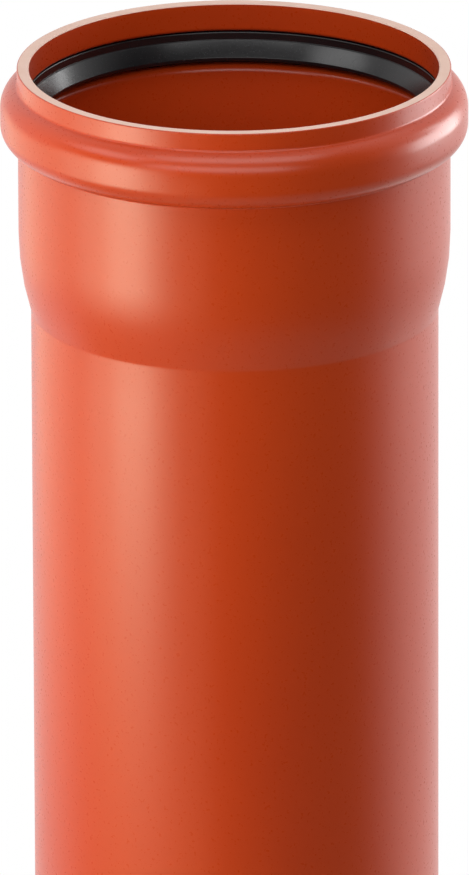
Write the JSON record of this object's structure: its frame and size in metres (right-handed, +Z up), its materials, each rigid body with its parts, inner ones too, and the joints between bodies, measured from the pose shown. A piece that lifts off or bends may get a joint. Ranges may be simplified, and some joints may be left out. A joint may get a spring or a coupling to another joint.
{
  "type": "pvc sewer pipe",
  "caption": "Round plastic drain pipe with a plain bevelled spigot at one end and a widened socket with a bead and rubber lip seal at the other.",
  "frame": {"origin": "middle of the spigot's end face, which the pipe stands on", "axes": "+Z up along the pipe's axis, from the spigot to the socket's mouth; X and Y are square to it and alike"},
  "size_m": [0.1261, 0.126, 0.56],
  "materials": {
    "orange_brown_pvc": "satin",
    "black_rubber": "satin"
  },
  "bodies": {
    "root": {"pipe": "orange_brown_pvc", "seal_ring": "black_rubber"}
  },
  "joints": []
}
